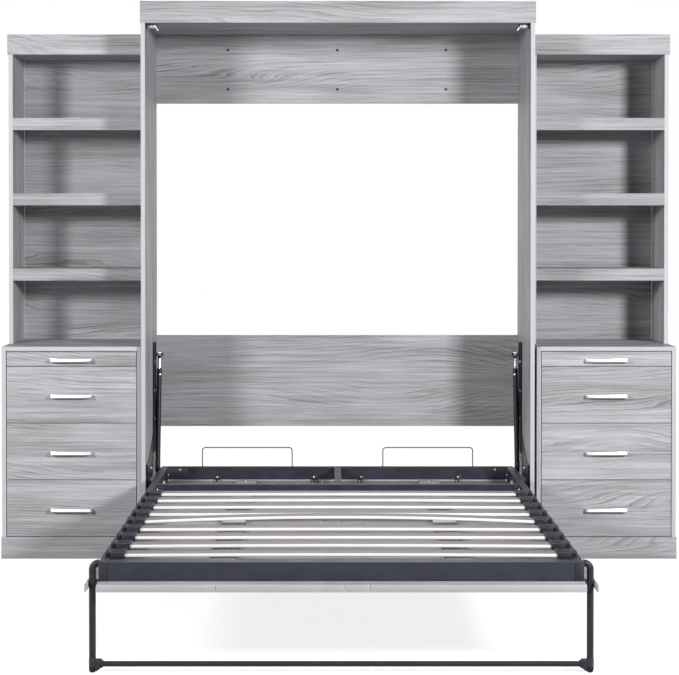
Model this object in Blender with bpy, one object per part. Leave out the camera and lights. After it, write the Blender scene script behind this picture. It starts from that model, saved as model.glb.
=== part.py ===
"""A wall bed in its cabinet, between two units of drawers and open shelves. Metres, +Z up.

The origin is on the floor, at the centre of the whole object's footprint. The wall is the plane behind
everything, and the room is on the -Y side. A depth is a distance out from the wall. Three group empties
stand on the wall line: one on the bed's centre line, and one at the inner face of each side unit. Every
piece is drawn in its group's own terms: across, depth and height.
"""

import math

import bmesh
import bpy
from mathutils import Matrix, Vector

SIDES = {"left": -1, "right": 1}

# Boards and clearances
BOARD = 0.016
HAIR = 0.0003  # between two pieces that touch
THIN_BACK = 0.006

# Bed frame, open
BED_WIDTH = 1.400
BED_LENGTH = 1.935
RAIL_WIDTH = 0.025
RAIL_BOTTOM = 0.267
RAIL_HEIGHT = 0.055
HEAD_BAR_HEIGHT = 0.050
FOOT_BAR_WIDTH = 0.045
CROSS_BAR = 0.025
CROSS_BAR_FROM_HEAD = 0.460
RAIL_TOP = RAIL_BOTTOM + RAIL_HEIGHT

# Slats
SLAT_COUNT = 9
SLAT_WIDTH = 0.053
SLAT_THICKNESS = 0.011
SLAT_PITCH = 0.139
SLAT_ABOVE_RAIL = 0.0005
LAST_SLAT_TO_FOOT_BAR = 0.023
HOLDER_WIDTH = 0.043
HOLDER_DEPTH = 0.016
HOLDER_GRIP = 0.005  # how far a holder strip rises past the slats' undersides

# Mattress retainer loops on the head bar
LOOP_WIRE = 0.004
LOOP_WIDTH = 0.358
LOOP_HEIGHT = 0.078
LOOP_CENTRE = 0.360
LOOP_BEND = 0.012

# Front panel, which lies under the open frame and closes the cabinet when it is folded up
PANEL_BOTTOM = 0.245
PANEL_THICKNESS = RAIL_BOTTOM - PANEL_BOTTOM - HAIR
PANEL_PAST_FOOT = 0.048
PANEL_SIDE_GAP = 0.0015  # to the mechanism plates
PANEL_START_FROM_HEAD = 0.015
BATTEN_WIDTH = 0.080
BATTEN_THICKNESS = 0.012
BATTEN_CENTRE = 0.360
BATTEN_END_GAP = 0.060

# Fold
PIVOT_HEIGHT = 0.288
HEAD_BEHIND_PIVOT = 0.222
PANEL_TOP_GAP = 0.013
PIVOT_PIN = 0.0065
PIVOT_CLEARANCE = 0.0005
MECHANISM_GAP = 0.040  # from a rail's outer face to the cabinet's inner face

# Bed cabinet
CABINET_DEPTH = 0.460
CROWN_HEIGHT = 0.083
CROWN_OVERHANG = 0.0025
UPPER_BACK_HEIGHT = 0.280
LOWER_BACK_HEIGHT = 0.373
LOWER_BACK_BOTTOM = 0.461

# Mechanism plates, levers and gas struts
PLATE = 0.0025
PLATE_STRIP = (0.105, 0.175)
PLATE_BOTTOM = 0.222
PLATE_TOP = 0.815
BOOT_HEIGHT = 0.140
BOOT_FRONT_GAP = 0.020
BOOT_FLAT = 0.060  # of the boot's top, behind the pivot
BOOT_SLOPE = 0.090  # from the boot's top up to the strip
STUD_EAR = 0.022
LEVER = 0.005
LEVER_AHEAD = 0.140
LEVER_NOSE = (0.020, 0.012)  # the corner cut off its front end
LEVER_TAPER = 0.050  # from the strut's pin to the lever's full height
LEVER_RADIUS = 0.020
STRUT_STUD_DEPTH = 0.085
STRUT_STUD_HEIGHT = 0.760
STRUT_PIN_BEHIND_PIVOT = 0.242
STRUT_PIN_BELOW_PIVOT = 0.004
STRUT_STUD = 0.005
STRUT_EYE = 0.010
STRUT_EYE_WIDTH = 0.014
STRUT_RADIUS = 0.010
STRUT_ROD = 0.004
STRUT_BORE = 0.0046
STRUT_TUBE_LENGTH = 0.410
STRUT_TUBE_START = 0.014
STRUT_TUBE_FLOOR = 0.012
STRUT_ROD_END_GAP = 0.005
BOSS_RADIUS = 0.009
BOSS_GAP = 0.0010
PIN_HEAD = 0.003

# Folding leg
LEG_TUBE = 0.010
LEG_OUT = 0.020  # from the rail's face to the tube's centre line
LEG_BEND = 0.019
LEG_PIVOT_HEIGHT = 0.318
LEG_PIVOT_TO_FOOT = 0.013
FOOT_RAIL_TUBE = 0.008
FOOT_RAIL_HEIGHT = 0.025
LEG_NOTCH_GAP = 0.0015  # outside and behind the leg
LEG_NOTCH_INSIDE = 0.0085  # between the leg and the notch's inner edge

# Catches under the crown
CATCH_WIDTH = 0.040
CATCH_LENGTH = 0.042
CATCH_HEIGHT = 0.016
CATCH_FROM_FRONT = 0.030
CATCH_SIDE_GAP = 0.001
CATCH_LEVER = 0.004
CATCH_LEVER_DROP = 0.009

# Side units
UNIT_WIDTH = 0.5365
STAND_OFF = {"left": 0.003, "right": 0.011}  # between each unit and the bed cabinet
BASE_DEPTH = 0.440
BASE_HEIGHT = 0.818
PLINTH_HEIGHT = 0.083
PLINTH_PROUD = 0.003
HUTCH_DEPTH = 0.280
HUTCH_HEIGHT = 1.218
HUTCH_CROWN_HEIGHT = 0.079
HUTCH_CROWN_OVERHANG = 0.004
SHELF_COUNT = 3
SHELF_LIP = 0.047
BACK_SETBACK = 0.010

# Drawers and writing trays
DRAWER_COUNT = 3
TRAY_FRONT = 0.055
FRONT_GAP = 0.003
RUNNER_GAP = 0.0125
BOX_WALL = 0.012
BOX_FLOOR = 0.006
DRAWER_BOX = 0.150
TRAY_BOX = 0.036
BOX_LENGTH = 0.380
BOX_LIFT = 0.012
TRAY_LIFT = 0.010

# Handles
HANDLE_LENGTH = 0.170
HANDLE_HEIGHT = 0.013
HANDLE_BAR = 0.006
HANDLE_STAND_OFF = 0.024
HANDLE_POST = 0.009
HANDLE_POST_INSET = 0.012
HANDLE_BELOW_CENTRE = 0.005

ROUND = 24  # sides of a round piece
TUBE_SIDES = 16

# Worked out from the sizes above
PIVOT_DEPTH = CABINET_DEPTH - (PIVOT_HEIGHT - PANEL_BOTTOM)
HEAD_DEPTH = PIVOT_DEPTH - HEAD_BEHIND_PIVOT
FOOT_DEPTH = HEAD_DEPTH + BED_LENGTH
PANEL_START = HEAD_DEPTH + PANEL_START_FROM_HEAD
PANEL_END = FOOT_DEPTH + PANEL_PAST_FOOT
RAIL_FACE = BED_WIDTH / 2
RAIL_INSIDE = RAIL_FACE - RAIL_WIDTH
INNER_HALF = RAIL_FACE + MECHANISM_GAP
OUTER_HALF = INNER_HALF + BOARD
CROWN_BOTTOM = PIVOT_HEIGHT + PANEL_END - PIVOT_DEPTH + PANEL_TOP_GAP
CABINET_HEIGHT = CROWN_BOTTOM + CROWN_HEIGHT
PLATE_FACE = INNER_HALF - HAIR - PLATE
PANEL_HALF = PLATE_FACE - PANEL_SIDE_GAP
LEVER_FACE = RAIL_FACE + LEVER
STRUT_ACROSS = (PLATE_FACE + LEVER_FACE) / 2
STRUT_PIN_DEPTH = PIVOT_DEPTH - STRUT_PIN_BEHIND_PIVOT
STRUT_PIN_HEIGHT = PIVOT_HEIGHT - STRUT_PIN_BELOW_PIVOT
STRUT_LENGTH = math.hypot(STRUT_PIN_DEPTH - STRUT_STUD_DEPTH, STRUT_STUD_HEIGHT - STRUT_PIN_HEIGHT)
STRUT_LEAN = math.atan2(STRUT_PIN_DEPTH - STRUT_STUD_DEPTH, STRUT_STUD_HEIGHT - STRUT_PIN_HEIGHT)
LEG_DEPTH = FOOT_DEPTH - LEG_PIVOT_TO_FOOT
LEG_ACROSS = RAIL_FACE + LEG_OUT
UNIT_OUTER = {side: OUTER_HALF + STAND_OFF[side] + UNIT_WIDTH for side in SIDES}
CABINET_ACROSS = (UNIT_OUTER["left"] - UNIT_OUTER["right"]) / 2
WALL = PANEL_END / 2
HUTCH_TOP = BASE_HEIGHT + HUTCH_HEIGHT
HUTCH_CROWN_BOTTOM = HUTCH_TOP - HUTCH_CROWN_HEIGHT

FINISHES = {
    "grey_wood": ((0.50, 0.49, 0.51), 0.55, 0.0),
    "navy_steel": ((0.042, 0.046, 0.062), 0.45, 0.3),
    "birch": ((0.78, 0.74, 0.66), 0.6, 0.0),
    "black_plastic": ((0.02, 0.02, 0.024), 0.5, 0.0),
    "black_steel": ((0.025, 0.025, 0.03), 0.4, 0.3),
    "chrome": ((0.80, 0.80, 0.82), 0.15, 1.0),
    "silver": ((0.72, 0.73, 0.75), 0.3, 1.0),
}


def clear_scene():
    for old in list(bpy.data.objects):
        bpy.data.objects.remove(old, do_unlink=True)


def material(finish):
    if finish in bpy.data.materials:
        return bpy.data.materials[finish]
    colour, roughness, metallic = FINISHES[finish]
    made = bpy.data.materials.new(finish)
    made.use_nodes = True
    shader = made.node_tree.nodes["Principled BSDF"]
    shader.inputs["Base Color"].default_value = (*colour, 1.0)
    shader.inputs["Roughness"].default_value = roughness
    shader.inputs["Metallic"].default_value = metallic
    made.diffuse_color = (*colour, 1.0)
    return made


def empty(name, at, parent=None):
    """A group's or a joint axis's empty, at a place in its parent's terms."""
    made = bpy.data.objects.new(name, None)
    made.location = at
    made.parent = parent
    bpy.context.scene.collection.objects.link(made)
    return made


def shape(shell):
    """A nameless object made from a bmesh, its faces turned outwards."""
    bmesh.ops.recalc_face_normals(shell, faces=shell.faces)
    mesh = bpy.data.meshes.new("shape")
    shell.to_mesh(mesh)
    shell.free()
    made = bpy.data.objects.new("shape", mesh)
    bpy.context.scene.collection.objects.link(made)
    return made


def prism(outline, across):
    """An outline of (depth, height) points, pushed from one place across the group to another."""
    shell = bmesh.new()
    ends = [[shell.verts.new((x, -depth, height)) for depth, height in outline] for x in across]
    shell.faces.new(ends[0])
    shell.faces.new(reversed(ends[1]))
    for i in range(len(outline)):
        j = (i + 1) % len(outline)
        shell.faces.new((ends[0][j], ends[0][i], ends[1][i], ends[1][j]))
    return shape(shell)


def box(across, depth, height):
    (near, far), (low, high) = depth, height
    return prism([(near, low), (far, low), (far, high), (near, high)], across)


def disc(depth, height, radius, across, sides=ROUND):
    """A round pin or boss whose axis runs across the group."""
    turns = [2 * math.pi * i / sides for i in range(sides)]
    return prism([(depth + radius * math.cos(t), height + radius * math.sin(t)) for t in turns], across)


def turned(profile, sides=ROUND):
    """A solid of revolution about its own Z. Its (radius, height) profile starts and ends on the axis."""
    shell = bmesh.new()
    first, *middle, last = profile
    ends = [shell.verts.new((0, 0, first[1])), shell.verts.new((0, 0, last[1]))]
    rings = []
    for radius, height in middle:
        turns = [2 * math.pi * i / sides for i in range(sides)]
        rings.append([shell.verts.new((radius * math.cos(t), radius * math.sin(t), height)) for t in turns])
    for i in range(sides):
        j = (i + 1) % sides
        shell.faces.new((ends[0], rings[0][i], rings[0][j]))
        shell.faces.new((ends[1], rings[-1][j], rings[-1][i]))
        for lower, upper in zip(rings, rings[1:]):
            shell.faces.new((lower[i], upper[i], upper[j], lower[j]))
    return shape(shell)


def tube(path, radius):
    """A round bar along a path of (across, depth, height) points."""
    curve = bpy.data.curves.new("path", "CURVE")
    curve.dimensions = "3D"
    curve.bevel_depth = radius
    curve.bevel_resolution = TUBE_SIDES // 4 - 1
    curve.use_fill_caps = True
    line = curve.splines.new("POLY")
    line.points.add(len(path) - 1)
    for point, (x, depth, height) in zip(line.points, path):
        point.co = (x, -depth, height, 1.0)
    made = bpy.data.objects.new("path", curve)
    bpy.context.scene.collection.objects.link(made)
    mesh = bpy.data.meshes.new_from_object(made.evaluated_get(bpy.context.evaluated_depsgraph_get()))
    bpy.data.objects.remove(made)
    shell = bmesh.new()
    shell.from_mesh(mesh)
    bmesh.ops.remove_doubles(shell, verts=shell.verts, dist=1e-6)
    return shape(shell)


def bend(centre, radius, start, stop, at, steps=6):
    """Points round a bend in the plane across the group. at places an (across, height) pair on the path."""
    turns = [start + (stop - start) * i / steps for i in range(steps + 1)]
    return [at(centre[0] + radius * math.cos(t), centre[1] + radius * math.sin(t)) for t in turns]


def combine(base, tools, operation="UNION"):
    """The base with each tool joined to it or cut from it. The tools are used up."""
    for tool in tools:
        change = base.modifiers.new("combine", "BOOLEAN")
        change.operation = operation
        change.object = tool
        bpy.context.view_layer.update()
        mesh = bpy.data.meshes.new_from_object(base.evaluated_get(bpy.context.evaluated_depsgraph_get()))
        base.modifiers.remove(change)
        base.data = mesh
        bpy.data.objects.remove(tool, do_unlink=True)
    return base


def cut(base, tools):
    return combine(base, tools, "DIFFERENCE")


def tray(across, depth, height, wall, floor, opens):
    """A board with a front and two sides standing on it, open at the wall side and upwards or downwards."""
    (near, far), (low, high) = depth, height
    left, right = sorted(across)
    hollow = (low + floor, high + wall) if opens == "up" else (low - wall, high - floor)
    pocket = box((left + wall, right - wall), (near - wall, far - wall), hollow)
    return cut(box(across, depth, height), [pocket])


def part(name, made, group, finish, axis=None):
    """Names a shape, gives it its finish and hangs it on its group, or on its joint axis's empty."""
    made.name = made.data.name = name
    if axis is not None:
        made.data.transform(Matrix.Translation(-Vector(axis.location)))
        group = axis
    made.parent = group
    made.data.materials.clear()
    made.data.materials.append(material(finish))
    made.data.polygons.foreach_set("use_smooth", [True] * len(made.data.polygons))
    made.data.set_sharp_from_angle(angle=math.radians(35))
    return made


def bed_cabinet(group):
    for side, s in SIDES.items():
        panel = box((s * INNER_HALF, s * OUTER_HALF), (0, CABINET_DEPTH), (0, CROWN_BOTTOM - HAIR))
        part(f"side_panel_{side}", panel, group, "grey_wood")
    half = OUTER_HALF + CROWN_OVERHANG
    crown = tray((-half, half), (0, CABINET_DEPTH + CROWN_OVERHANG), (CROWN_BOTTOM, CABINET_HEIGHT),
                 BOARD, BOARD, "up")
    part("cabinet_crown", crown, group, "grey_wood")
    between = (-INNER_HALF + HAIR, INNER_HALF - HAIR)
    upper = (CROWN_BOTTOM - UPPER_BACK_HEIGHT, CROWN_BOTTOM - HAIR)
    part("upper_back_panel", box(between, (0, BOARD), upper), group, "grey_wood")
    lower = (LOWER_BACK_BOTTOM, LOWER_BACK_BOTTOM + LOWER_BACK_HEIGHT)
    part("lower_back_panel", box(between, (0, BOARD), lower), group, "grey_wood")


def mechanism_plates(group):
    """A steel plate on each inner face, with the bed's pivot pin and the strut's upper stud standing on it."""
    back, front = PLATE_STRIP
    boot_front = CABINET_DEPTH - BOOT_FRONT_GAP
    boot_top = PLATE_BOTTOM + BOOT_HEIGHT
    ear_low = STRUT_STUD_HEIGHT - STUD_EAR
    ear_high = STRUT_STUD_HEIGHT + STUD_EAR
    ear_back = STRUT_STUD_DEPTH - STUD_EAR
    outline = [
        (back, PLATE_BOTTOM), (boot_front, PLATE_BOTTOM), (boot_front, boot_top),
        (PIVOT_DEPTH - BOOT_FLAT, boot_top), (front, boot_top + BOOT_SLOPE), (front, PLATE_TOP), (back, PLATE_TOP),
        (back, ear_high), (ear_back, ear_high), (ear_back, ear_low), (back, ear_low - STUD_EAR),
    ]
    for side, s in SIDES.items():
        plate = prism(outline, (s * PLATE_FACE, s * (INNER_HALF - HAIR)))
        root = s * (INNER_HALF - HAIR - PLATE / 2)
        pin = disc(PIVOT_DEPTH, PIVOT_HEIGHT, PIVOT_PIN, (s * (RAIL_FACE + PIVOT_CLEARANCE), root))
        inner_end = STRUT_ACROSS - STRUT_EYE_WIDTH / 2 - PIN_HEAD
        stud = disc(STRUT_STUD_DEPTH, STRUT_STUD_HEIGHT, STRUT_STUD, (s * inner_end, root))
        part(f"mechanism_plate_{side}", combine(plate, [pin, stud]), group, "black_steel")


def catches(group):
    """A catch in each front corner under the crown, with a short lever hanging from its inner end."""
    front = CABINET_DEPTH - CATCH_FROM_FRONT
    top = CROWN_BOTTOM - HAIR
    for side, s in SIDES.items():
        outer = INNER_HALF - CATCH_SIDE_GAP
        inner = outer - CATCH_WIDTH
        block = box((s * inner, s * outer), (front - CATCH_LENGTH, front), (top - CATCH_HEIGHT, top))
        lever_low = top - CATCH_HEIGHT - CATCH_LEVER_DROP
        lever = box((s * (inner - CATCH_LEVER / 2), s * (inner + CATCH_LEVER)),
                    (front - CATCH_LENGTH / 2, front - CATCH_LEVER), (lever_low, top - CATCH_HEIGHT / 2))
        part(f"catch_{side}", combine(block, [lever]), group, "silver")


def side_rails(group, axis):
    """Each rail carries the lever that turns on the pivot pin and whose tail holds the strut's lower end."""
    for side, s in SIDES.items():
        rail = box((s * RAIL_INSIDE, s * RAIL_FACE), (HEAD_DEPTH, FOOT_DEPTH), (RAIL_BOTTOM, RAIL_TOP))
        tail = STRUT_PIN_DEPTH - LEVER_RADIUS
        nose = PIVOT_DEPTH + LEVER_AHEAD
        low, high = RAIL_BOTTOM + HAIR, RAIL_TOP - HAIR
        outline = [
            (tail, STRUT_PIN_HEIGHT - BOSS_RADIUS), (tail + BOSS_RADIUS, low), (nose, low),
            (nose, high - LEVER_NOSE[1]), (nose - LEVER_NOSE[0], high), (STRUT_PIN_DEPTH + LEVER_TAPER, high),
            (tail, STRUT_PIN_HEIGHT + BOSS_RADIUS),
        ]
        lever = prism(outline, (s * (RAIL_FACE - LEVER), s * LEVER_FACE))
        boss_end = STRUT_ACROSS - STRUT_RADIUS - BOSS_GAP - HAIR
        boss = disc(STRUT_PIN_DEPTH, STRUT_PIN_HEIGHT, BOSS_RADIUS,
                    (s * (LEVER_FACE - LEVER / 2), s * boss_end))
        hole = disc(PIVOT_DEPTH, PIVOT_HEIGHT, PIVOT_PIN + PIVOT_CLEARANCE,
                    (s * RAIL_FACE, s * (LEVER_FACE + LEVER)))
        part(f"side_rail_{side}", cut(combine(rail, [lever, boss]), [hole]), group, "navy_steel", axis)


def retainer_loop(centre, depth):
    """A wire loop standing on the head bar, its feet let into the bar."""
    half = LOOP_WIDTH / 2
    top = RAIL_TOP + LOOP_HEIGHT - LOOP_WIRE / 2
    foot = RAIL_TOP - 2 * LOOP_WIRE

    def at(across, height):
        return (across, depth, height)

    left_bend = bend((centre - half + LOOP_BEND, top - LOOP_BEND), LOOP_BEND, math.pi, math.pi / 2, at)
    right_bend = bend((centre + half - LOOP_BEND, top - LOOP_BEND), LOOP_BEND, math.pi / 2, 0, at)
    path = [at(centre - half, foot), *left_bend, *right_bend, at(centre + half, foot)]
    return tube(path, LOOP_WIRE / 2)


def bed_bars(group, axis):
    inside = RAIL_INSIDE - HAIR
    head = (HEAD_DEPTH, HEAD_DEPTH + RAIL_WIDTH)
    bar = box((-inside, inside), head, (RAIL_TOP - HEAD_BAR_HEIGHT, RAIL_TOP))
    loops = [retainer_loop(s * LOOP_CENTRE, HEAD_DEPTH + RAIL_WIDTH / 2) for s in SIDES.values()]
    part("head_bar", combine(bar, loops), group, "navy_steel", axis)
    foot = (FOOT_DEPTH - FOOT_BAR_WIDTH, FOOT_DEPTH)
    part("foot_bar", box((-inside, inside), foot, (RAIL_BOTTOM, RAIL_TOP)), group, "navy_steel", axis)
    cross_start = HEAD_DEPTH + CROSS_BAR_FROM_HEAD
    level = (RAIL_TOP - CROSS_BAR, RAIL_TOP)
    cross = box((-inside, inside), (cross_start, cross_start + CROSS_BAR), level)
    spine = box((-CROSS_BAR / 2, CROSS_BAR / 2), (head[1] + HAIR, cross_start + CROSS_BAR / 2),
                (level[0], level[1] - HAIR))
    part("centre_support", combine(cross, [spine]), group, "navy_steel", axis)


def slat_bank(group, axis):
    """All the slats, held at their ends in a strip along each rail."""
    bottom = RAIL_TOP + SLAT_ABOVE_RAIL
    end = RAIL_INSIDE - HAIR
    inner = end - HOLDER_WIDTH
    last_front = FOOT_DEPTH - FOOT_BAR_WIDTH - LAST_SLAT_TO_FOOT_BAR
    first_front = last_front - SLAT_PITCH * (SLAT_COUNT - 1)
    reach = (first_front - SLAT_WIDTH - HOLDER_GRIP, last_front + HOLDER_GRIP)
    strips = [
        box((s * inner, s * end), reach, (bottom - HOLDER_DEPTH, bottom + HOLDER_GRIP)) for s in SIDES.values()
    ]
    slats = []
    for i in range(SLAT_COUNT):
        front = first_front + i * SLAT_PITCH
        half = inner + HOLDER_WIDTH / 2
        slats.append(box((-half, half), (front - SLAT_WIDTH, front), (bottom, bottom + SLAT_THICKNESS)))
    part("slat_bank", combine(slats[0], strips + slats[1:]), group, "birch", axis)


def front_panel(group, axis):
    """The panel, notched at its front corners for the legs, with two battens along its inside."""
    top = PANEL_BOTTOM + PANEL_THICKNESS
    panel = box((-PANEL_HALF, PANEL_HALF), (PANEL_START, PANEL_END), (PANEL_BOTTOM, top))
    notches = []
    for s in SIDES.values():
        reach = LEG_TUBE + LEG_NOTCH_GAP
        across = (s * (LEG_ACROSS - LEG_TUBE - LEG_NOTCH_INSIDE), s * (LEG_ACROSS + reach))
        notches.append(box(across, (LEG_DEPTH - reach, PANEL_END + BOARD), (PANEL_BOTTOM - BOARD, top + BOARD)))
    batten_run = (HEAD_DEPTH + BATTEN_END_GAP, FOOT_DEPTH - BATTEN_END_GAP)
    battens = [
        box((s * BATTEN_CENTRE - BATTEN_WIDTH / 2, s * BATTEN_CENTRE + BATTEN_WIDTH / 2), batten_run,
            (top - PANEL_THICKNESS / 2, top + BATTEN_THICKNESS))
        for s in SIDES.values()
    ]
    part("front_panel", combine(cut(panel, notches), battens), group, "grey_wood", axis)


def leg_frame(group, axis):
    """Two bent legs and the foot rail between them, turning where the legs meet the bed's side rails."""
    def side_path(s):
        def at(across, height):
            return (s * across, LEG_DEPTH, height)

        corner = bend((LEG_ACROSS - LEG_BEND, LEG_PIVOT_HEIGHT - LEG_BEND), LEG_BEND, math.pi / 2, 0, at)
        return [at(RAIL_FACE + HAIR, LEG_PIVOT_HEIGHT), *corner, at(LEG_ACROSS, 0)]

    left, right = (tube(side_path(s), LEG_TUBE) for s in SIDES.values())
    foot_path = [(-LEG_ACROSS, LEG_DEPTH, FOOT_RAIL_HEIGHT), (LEG_ACROSS, LEG_DEPTH, FOOT_RAIL_HEIGHT)]
    part("leg_frame", combine(left, [tube(foot_path, FOOT_RAIL_TUBE), right]), group, "black_steel", axis)


def strut(side, s, group):
    """A gas strut: the rod's eye turns on the upper stud, and the tube slides on the rod."""
    stud = empty(f"strut_stud_{side}", (s * STRUT_ACROSS, -STRUT_STUD_DEPTH, STRUT_STUD_HEIGHT), group)
    stud.rotation_euler = (-STRUT_LEAN, 0, 0)
    eye_across = (-STRUT_EYE_WIDTH / 2, STRUT_EYE_WIDTH / 2)
    rod_end = STRUT_LENGTH - STRUT_TUBE_START - STRUT_TUBE_FLOOR - STRUT_ROD_END_GAP
    eye = disc(0, 0, STRUT_EYE, eye_across)
    rod = turned([(0, -rod_end), (STRUT_ROD, -rod_end), (STRUT_ROD, -STRUT_EYE / 2), (0, -STRUT_EYE / 2)])
    bore = disc(0, 0, STRUT_STUD + PIVOT_CLEARANCE, (-STRUT_EYE_WIDTH, STRUT_EYE_WIDTH))
    part(f"strut_rod_{side}", cut(combine(eye, [rod]), [bore]), stud, "chrome")

    bottom = -(STRUT_LENGTH - STRUT_TUBE_START)
    top = bottom + STRUT_TUBE_LENGTH
    floor = bottom + STRUT_TUBE_FLOOR
    body = turned([(0, bottom), (STRUT_RADIUS, bottom), (STRUT_RADIUS, top), (STRUT_BORE, top),
                   (STRUT_BORE, floor), (0, floor)])
    lug = box(eye_across, (-STRUT_EYE / 2, STRUT_EYE / 2), (-STRUT_LENGTH, bottom + STRUT_TUBE_FLOOR / 2))
    pin_end = -s * (STRUT_RADIUS + BOSS_GAP)
    lower_eye = disc(0, -STRUT_LENGTH, STRUT_EYE, eye_across)
    pin = disc(0, -STRUT_LENGTH, STRUT_STUD, sorted((pin_end, s * (STRUT_EYE_WIDTH / 2 + PIN_HEAD))))
    part(f"strut_tube_{side}", combine(body, [lug, lower_eye, pin]), stud, "black_steel")


def base_carcass(side, s, group):
    """A plinth with the carcass floor on it, two sides, and the worktop over them."""
    plinth = tray((0, s * (UNIT_WIDTH + PLINTH_PROUD)), (0, BASE_DEPTH + PLINTH_PROUD), (0, PLINTH_HEIGHT),
                  BOARD, BOARD, "down")
    part(f"plinth_{side}", plinth, group, "grey_wood")
    sides_up = (PLINTH_HEIGHT + HAIR, BASE_HEIGHT - BOARD - HAIR)
    inner = box((0, s * BOARD), (0, BASE_DEPTH), sides_up)
    part(f"base_side_inner_{side}", inner, group, "grey_wood")
    outer = box((s * (UNIT_WIDTH - BOARD), s * UNIT_WIDTH), (0, BASE_DEPTH), sides_up)
    part(f"base_side_outer_{side}", outer, group, "grey_wood")
    back_face = BACK_SETBACK + THIN_BACK + HAIR
    worktop = box((0, s * UNIT_WIDTH), (back_face, BASE_DEPTH), (BASE_HEIGHT - BOARD, BASE_HEIGHT))
    part(f"worktop_{side}", worktop, group, "grey_wood")


def hutch_carcass(side, s, group):
    """Two sides standing on the worktop, a crown over them and shelves with front lips between them."""
    sides_up = (BASE_HEIGHT + HAIR, HUTCH_CROWN_BOTTOM - HAIR)
    back_face = BACK_SETBACK + THIN_BACK + HAIR
    inner = box((0, s * BOARD), (back_face, HUTCH_DEPTH), sides_up)
    part(f"hutch_side_inner_{side}", inner, group, "grey_wood")
    outer = box((s * (UNIT_WIDTH - BOARD), s * UNIT_WIDTH), (back_face, HUTCH_DEPTH), sides_up)
    part(f"hutch_side_outer_{side}", outer, group, "grey_wood")
    crown = tray((0, s * (UNIT_WIDTH + HUTCH_CROWN_OVERHANG)), (0, HUTCH_DEPTH + HUTCH_CROWN_OVERHANG),
                 (HUTCH_CROWN_BOTTOM, HUTCH_TOP), BOARD, BOARD, "up")
    part(f"hutch_crown_{side}", crown, group, "grey_wood")
    back = box((s * (BOARD + HAIR), s * (UNIT_WIDTH - BOARD - HAIR)), (BACK_SETBACK, BACK_SETBACK + THIN_BACK),
               (PLINTH_HEIGHT + HAIR, HUTCH_CROWN_BOTTOM - HAIR))
    part(f"unit_back_{side}", back, group, "grey_wood")

    opening = (HUTCH_CROWN_BOTTOM - BASE_HEIGHT - SHELF_COUNT * SHELF_LIP) / (SHELF_COUNT + 1)
    across = (s * (BOARD + HAIR), s * (UNIT_WIDTH - BOARD - HAIR))
    for i in range(SHELF_COUNT):
        low = BASE_HEIGHT + opening + i * (opening + SHELF_LIP)
        high = low + SHELF_LIP
        outline = [
            (back_face, high - BOARD), (HUTCH_DEPTH - BOARD, high - BOARD), (HUTCH_DEPTH - BOARD, low),
            (HUTCH_DEPTH, low), (HUTCH_DEPTH, high), (back_face, high),
        ]
        part(f"hutch_shelf_{i + 1}_{side}", prism(outline, across), group, "grey_wood")


def drawer(name, s, group, low, high, box_height, lift):
    """A front flush with the carcass, its open box behind it, and a bar handle. Its axis is on the front."""
    left, right = BOARD + FRONT_GAP, UNIT_WIDTH - BOARD - FRONT_GAP
    middle = s * UNIT_WIDTH / 2
    axis = empty(f"{name}_axis", (middle, -BASE_DEPTH, (low + high) / 2), group)
    front = box((s * left, s * right), (BASE_DEPTH - BOARD, BASE_DEPTH), (low, high))
    box_left, box_right = BOARD + RUNNER_GAP, UNIT_WIDTH - BOARD - RUNNER_GAP
    box_front = BASE_DEPTH - BOARD + HAIR
    box_back = BASE_DEPTH - BOX_LENGTH
    floor = low + lift
    block = box((s * box_left, s * box_right), (box_back, box_front), (floor, floor + box_height))
    hollow = box((s * (box_left + BOX_WALL), s * (box_right - BOX_WALL)),
                 (box_back + BOX_WALL, BASE_DEPTH - BOARD - BOX_WALL), (floor + BOX_FLOOR, high + BOARD))
    part(name, combine(front, [cut(block, [hollow])]), group, "grey_wood", axis)

    centre = (low + high) / 2 - HANDLE_BELOW_CENTRE
    half = HANDLE_LENGTH / 2
    bar_out = BASE_DEPTH + HANDLE_STAND_OFF
    bar = box((middle - half, middle + half), (bar_out - HANDLE_BAR, bar_out),
              (centre - HANDLE_HEIGHT / 2, centre + HANDLE_HEIGHT / 2))
    posts = []
    for end in SIDES.values():
        post = middle + end * (half - HANDLE_POST_INSET)
        posts.append(box((post - HANDLE_POST / 2, post + HANDLE_POST / 2),
                         (BASE_DEPTH + HAIR, bar_out - HANDLE_BAR / 2),
                         (centre - HANDLE_POST / 2, centre + HANDLE_POST / 2)))
    part(f"{name}_handle", combine(bar, posts), group, "silver", axis)


def drawers(side, s, group):
    """The writing tray under the worktop, then the drawers, numbered from the top."""
    top = BASE_HEIGHT - BOARD - FRONT_GAP
    tray_low = top - TRAY_FRONT
    drawer(f"tray_{side}", s, group, tray_low, top, TRAY_BOX, TRAY_LIFT)
    each = (tray_low - PLINTH_HEIGHT - (DRAWER_COUNT + 1) * FRONT_GAP) / DRAWER_COUNT
    for i in range(DRAWER_COUNT):
        high = tray_low - FRONT_GAP - i * (each + FRONT_GAP)
        drawer(f"drawer_{i + 1}_{side}", s, group, high - each, high, DRAWER_BOX, BOX_LIFT)


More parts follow.
